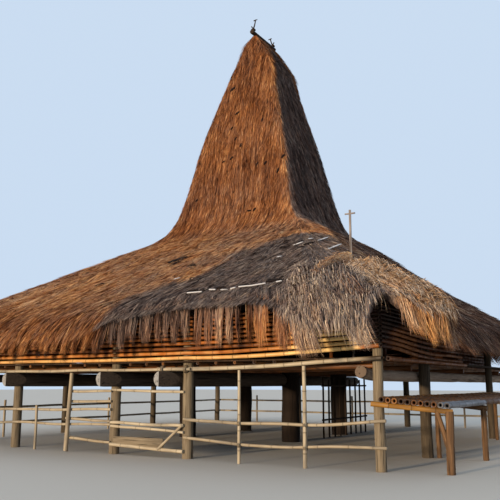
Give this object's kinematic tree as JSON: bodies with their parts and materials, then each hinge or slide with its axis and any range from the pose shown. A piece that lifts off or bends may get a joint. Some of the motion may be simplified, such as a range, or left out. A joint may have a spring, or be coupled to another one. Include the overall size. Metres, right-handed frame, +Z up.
{
  "type": "traditional thatched house",
  "caption": "Square-plan house on posts with a steep central thatched tower over low hipped thatch, bamboo walls, a side veranda and a bamboo bench.",
  "frame": {"origin": "on the ground, at the middle of the house's plan", "axes": "+Z up, +Y from the front wall towards the back, +X towards the veranda side"},
  "size_m": [14.622, 15.4972, 13.1422],
  "materials": {
    "tower_thatch": "dry brown grass thatch",
    "skirt_thatch": "weathered grey-brown grass thatch",
    "timber": "weathered grey-brown logs",
    "dark_timber": "smoke-darkened poles",
    "bamboo": "yellow to orange bamboo",
    "pale_bamboo": "bleached bamboo and poles"
  },
  "bodies": {
    "root": {"back_finial": "dark_timber", "back_left_corner_post": "timber", "back_left_post": "timber", "back_rafters": "dark_timber", "back_rails": "pale_bamboo", "back_right_corner_post": "timber", "back_right_post": "timber", "back_skirt_thatch": "skirt_thatch", "back_tower_thatch": "tower_thatch", "back_wall": "bamboo", "bench_back_deck": "bamboo", "bench_back_frame": "timber", "bench_front_deck": "bamboo", "bench_front_frame": "timber", "bench_middle_frame": "timber", "centre_log_beam": "timber", "floor_deck": "bamboo", "floor_joists": "bamboo", "front_centre_post": "timber", "front_centre_rails": "pale_bamboo", "front_edge_pole": "pale_bamboo", "front_finial": "dark_timber", "front_left_corner_post": "timber", "front_left_post": "timber", "front_left_rails": "pale_bamboo", "front_rafters": "dark_timber", "front_right_corner_post": "timber", "front_right_post": "timber", "front_right_rails": "pale_bamboo", "front_skirt_thatch": "skirt_thatch", "front_tower_thatch": "tower_thatch", "front_wall": "bamboo", "left_back_post": "timber", "left_centre_log_beam": "timber", "left_front_post": "timber", "left_log_beam": "timber", "left_rafters": "dark_timber", "left_rails": "pale_bamboo", "left_skirt_thatch": "skirt_thatch", "left_tower_thatch": "tower_thatch", "left_wall": "bamboo", "main_post_back_left": "timber", "main_post_back_right": "timber", "main_post_front_left": "timber", "main_post_front_right": "timber", "pen_palisade": "dark_timber", "ridge_pole": "dark_timber", "right_back_post": "timber", "right_centre_log_beam": "timber", "right_front_post": "timber", "right_log_beam": "timber", "right_rafters": "dark_timber", "right_skirt_thatch": "skirt_thatch", "right_tower_thatch": "tower_thatch", "right_wall": "bamboo", "service_mast": "dark_timber", "tower_frame": "dark_timber", "veranda_end_wall": "bamboo", "veranda_wall": "bamboo"}
  },
  "joints": []
}
